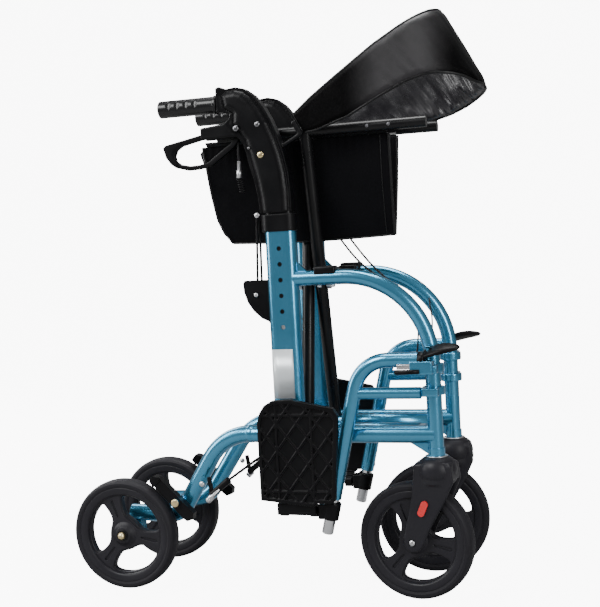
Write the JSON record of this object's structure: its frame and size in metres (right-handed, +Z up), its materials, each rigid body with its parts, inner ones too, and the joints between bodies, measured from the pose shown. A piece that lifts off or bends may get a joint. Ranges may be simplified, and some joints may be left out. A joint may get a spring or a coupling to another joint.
{
  "type": "rollator walker",
  "caption": "Side-folding four-wheel rollator with height-adjustable brake handles, hanging seat sling, padded back band and swing-away footrests, shown folded",
  "frame": {"origin": "on the floor under the rear axle, midway between the two side frames", "axes": "+X forward along the walker, +Y to the user's left, +Z up"},
  "size_m": [0.7746, 0.28, 0.9886],
  "materials": {
    "blue_paint": "metallic light teal blue lacquer over aluminium tube",
    "steel": "bright zinc-plated steel and bare aluminium",
    "chrome": "polished chrome",
    "tyre": "matt black solid polyurethane",
    "grip_rubber": "smooth soft black grip",
    "reflector": "clear red prism plastic",
    "sling_fabric": "black nylon weave",
    "band_fabric": "satin black padded nylon",
    "black_paint": "satin black powder coat",
    "wheel_plastic": "moulded charcoal nylon",
    "black_plastic": "moulded black nylon"
  },
  "bodies": {
    "frame_right": {"frame_right": "blue_paint", "post_collar_right": "black_plastic", "saddle_right": "black_plastic", "cable_guide_right": "black_plastic", "rear_axle_right": "steel"},
    "frame_left": {"frame_left": "blue_paint", "post_collar_left": "black_plastic", "saddle_left": "black_plastic", "cable_guide_left": "black_plastic", "rear_axle_left": "steel"},
    "bar_a": {"cross_bar_a": "black_paint", "centre_bolt": "steel", "seat_rail_left": "black_paint"},
    "bar_b": {"cross_bar_b": "black_paint", "seat_rail_right": "black_paint"},
    "seat_half_right": {"seat_panel_right": "sling_fabric"},
    "seat_edge_right": {"seat_seam_right": "sling_fabric"},
    "handle_right": {"handle_tube_right": "black_paint", "handle_shell_right": "black_plastic", "grip_right": "grip_rubber"},
    "lever_right": {"brake_lever_right": "black_plastic"},
    "button_right": {"snap_button_right": "steel"},
    "brake_right": {"brake_arm_right": "black_plastic"},
    "rear_wheel_right": {"wheel_rear_right": "wheel_plastic", "tyre_rear_right": "tyre"},
    "caster_right": {"caster_fork_right": "wheel_plastic", "reflector_right": "reflector", "caster_axle_right": "steel"},
    "front_wheel_right": {"wheel_front_right": "wheel_plastic", "tyre_front_right": "tyre"},
    "hanger_right": {"hanger_tube_right": "blue_paint", "hanger_bracket_right": "blue_paint"},
    "paddle_right": {"release_paddle_right": "black_plastic"},
    "extension_right": {"extension_tube_right": "chrome", "footrest_clamp_right": "black_plastic"},
    "footplate_right": {"footplate_right": "black_plastic"},
    "seat_half_left": {"seat_panel_left": "sling_fabric"},
    "seat_edge_left": {"seat_seam_left": "sling_fabric"},
    "handle_left": {"handle_tube_left": "black_paint", "handle_shell_left": "black_plastic", "grip_left": "grip_rubber"},
    "lever_left": {"brake_lever_left": "black_plastic"},
    "button_left": {"snap_button_left": "steel"},
    "brake_left": {"brake_arm_left": "black_plastic"},
    "rear_wheel_left": {"wheel_rear_left": "wheel_plastic", "tyre_rear_left": "tyre"},
    "caster_left": {"caster_fork_left": "wheel_plastic", "reflector_left": "reflector", "caster_axle_left": "steel"},
    "front_wheel_left": {"wheel_front_left": "wheel_plastic", "tyre_front_left": "tyre"},
    "hanger_left": {"hanger_tube_left": "blue_paint", "hanger_bracket_left": "blue_paint"},
    "paddle_left": {"release_paddle_left": "black_plastic"},
    "extension_left": {"extension_tube_left": "chrome", "footrest_clamp_left": "black_plastic"},
    "footplate_left": {"footplate_left": "black_plastic"},
    "band_right": {"back_band_right": "band_fabric"},
    "band_left": {"back_band_left": "band_fabric"}
  },
  "joints": [
    {"name": "fold", "type": "hinge", "parent": "frame_right", "child": "bar_a", "pos_m": [0.34, -0.048, 0.281], "axis": [-1, 0, 0], "range_deg": [0, 45.6]},
    {"name": "fold_cross", "type": "hinge", "parent": "bar_a", "child": "bar_b", "pos_m": [0.354, 0, 0.53551], "axis": [1, 0, 0], "range_deg": [0, 91.2]},
    {"name": "fold_far", "type": "hinge", "parent": "bar_b", "child": "frame_left", "pos_m": [0.366, 0.048, 0.281], "axis": [-1, 0, 0], "range_deg": [0, 45.6]},
    {"name": "seat_panel_turn_right", "type": "hinge", "parent": "bar_b", "child": "seat_half_right", "pos_m": [0.34, -0.034, 0.79], "axis": [1, 0, 0], "range_deg": [0, 21.39]},
    {"name": "seat_seam_turn_right", "type": "hinge", "parent": "seat_half_right", "child": "seat_edge_right", "pos_m": [0.36, -0.0022, 0.62], "axis": [-1, 0, 0], "range_deg": [0, 155.95]},
    {"name": "handle_height_right", "type": "slide", "parent": "frame_right", "child": "handle_right", "axis": [0, 0, 1], "range_m": [0, 0.135]},
    {"name": "brake_lever_squeeze_right", "type": "hinge", "parent": "handle_right", "child": "lever_right", "pos_m": [0.258, -0.084, 0.812], "axis": [0, 1, 0], "range_deg": [0, 10], "stiffness_Nm_per_rad": 0.5},
    {"name": "snap_button_push_right", "type": "slide", "parent": "handle_right", "child": "button_right", "axis": [0, -1, 0], "range_m": [0, 0.004]},
    {"name": "brake_arm_turn_right", "type": "hinge", "parent": "frame_right", "child": "brake_right", "pos_m": [0.105, -0.096, 0.16], "axis": [0, -1, 0], "range_deg": [0, 6]},
    {"name": "rear_wheel_spin_right", "type": "hinge", "parent": "frame_right", "child": "rear_wheel_right", "pos_m": [0, -0.097, 0.1], "axis": [0, 1, 0], "continuous": true},
    {"name": "caster_swivel_right", "type": "hinge", "parent": "frame_right", "child": "caster_right", "pos_m": [0.576, -0.084, 0.2], "axis": [0, 0, 1], "continuous": true},
    {"name": "front_wheel_spin_right", "type": "hinge", "parent": "caster_right", "child": "front_wheel_right", "pos_m": [0.53441, -0.07816, 0.1], "axis": [0.1392, 0.9903, 0], "continuous": true},
    {"name": "hanger_swing_right", "type": "hinge", "parent": "frame_right", "child": "hanger_right", "pos_m": [0.576, -0.084, 0.375], "axis": [0, 0, 1], "range_deg": [0, 180]},
    {"name": "release_paddle_turn_right", "type": "hinge", "parent": "hanger_right", "child": "paddle_right", "pos_m": [0.575, -0.113, 0.42], "axis": [0, 0, 1], "range_deg": [0, 20], "stiffness_Nm_per_rad": 0.2},
    {"name": "leg_length_right", "type": "slide", "parent": "hanger_right", "child": "extension_right", "axis": [-0.2381, 0, -0.9712], "range_m": [0, 0.05]},
    {"name": "footplate_flip_right", "type": "hinge", "parent": "extension_right", "child": "footplate_right", "pos_m": [0.34, -0.113, 0.155], "axis": [1, 0, 0], "range_deg": [0, 90]},
    {"name": "seat_panel_turn_left", "type": "hinge", "parent": "bar_a", "child": "seat_half_left", "pos_m": [0.34, 0.034, 0.79], "axis": [-1, 0, 0], "range_deg": [0, 21.39]},
    {"name": "seat_seam_turn_left", "type": "hinge", "parent": "seat_half_left", "child": "seat_edge_left", "pos_m": [0.36, 0.0022, 0.62], "axis": [1, 0, 0], "range_deg": [0, 155.95]},
    {"name": "handle_height_left", "type": "slide", "parent": "frame_left", "child": "handle_left", "axis": [0, 0, 1], "range_m": [0, 0.135]},
    {"name": "brake_lever_squeeze_left", "type": "hinge", "parent": "handle_left", "child": "lever_left", "pos_m": [0.258, 0.084, 0.812], "axis": [0, 1, 0], "range_deg": [0, 10], "stiffness_Nm_per_rad": 0.5},
    {"name": "snap_button_push_left", "type": "slide", "parent": "handle_left", "child": "button_left", "axis": [0, 1, 0], "range_m": [0, 0.004]},
    {"name": "brake_arm_turn_left", "type": "hinge", "parent": "frame_left", "child": "brake_left", "pos_m": [0.105, 0.096, 0.16], "axis": [0, -1, 0], "range_deg": [0, 6]},
    {"name": "rear_wheel_spin_left", "type": "hinge", "parent": "frame_left", "child": "rear_wheel_left", "pos_m": [0, 0.097, 0.1], "axis": [0, 1, 0], "continuous": true},
    {"name": "caster_swivel_left", "type": "hinge", "parent": "frame_left", "child": "caster_left", "pos_m": [0.576, 0.084, 0.2], "axis": [0, 0, -1], "continuous": true},
    {"name": "front_wheel_spin_left", "type": "hinge", "parent": "caster_left", "child": "front_wheel_left", "pos_m": [0.53441, 0.07816, 0.1], "axis": [-0.1392, 0.9903, 0], "continuous": true},
    {"name": "hanger_swing_left", "type": "hinge", "parent": "frame_left", "child": "hanger_left", "pos_m": [0.576, 0.084, 0.375], "axis": [0, 0, -1], "range_deg": [0, 180]},
    {"name": "release_paddle_turn_left", "type": "hinge", "parent": "hanger_left", "child": "paddle_left", "pos_m": [0.575, 0.113, 0.42], "axis": [0, 0, -1], "range_deg": [0, 20], "stiffness_Nm_per_rad": 0.2},
    {"name": "leg_length_left", "type": "slide", "parent": "hanger_left", "child": "extension_left", "axis": [-0.2381, 0, -0.9712], "range_m": [0, 0.05]},
    {"name": "footplate_flip_left", "type": "hinge", "parent": "extension_left", "child": "footplate_left", "pos_m": [0.34, 0.113, 0.155], "axis": [-1, 0, 0], "range_deg": [0, 90]},
    {"name": "band_turn_right", "type": "hinge", "parent": "handle_right", "child": "band_right", "pos_m": [0.362, -0.084, 0.807], "axis": [-0.4695, 0, 0.8829], "range_deg": [0, 38.2]},
    {"name": "band_turn_left", "type": "hinge", "parent": "band_right", "child": "band_left", "pos_m": [0.62277, 0, 0.9557], "axis": [0.4695, 0, -0.8829], "range_deg": [0, 76.4]}
  ],
  "couplings": [
    {"joint": "fold_cross", "follows": "fold", "ratio": 2},
    {"joint": "fold_far", "follows": "fold", "ratio": 1},
    {"joint": "seat_panel_turn_right", "follows": "fold", "ratio": 0.469},
    {"joint": "seat_seam_turn_right", "follows": "fold", "ratio": 3.42},
    {"joint": "brake_arm_turn_right", "follows": "brake_lever_squeeze_right", "ratio": 0.6},
    {"joint": "seat_panel_turn_left", "follows": "fold", "ratio": 0.469},
    {"joint": "seat_seam_turn_left", "follows": "fold", "ratio": 3.42},
    {"joint": "brake_arm_turn_left", "follows": "brake_lever_squeeze_left", "ratio": 0.6},
    {"joint": "handle_height_left", "follows": "handle_height_right", "ratio": 1},
    {"joint": "band_turn_right", "follows": "fold", "ratio": 0.8377},
    {"joint": "band_turn_left", "follows": "fold", "ratio": 1.6754}
  ]
}
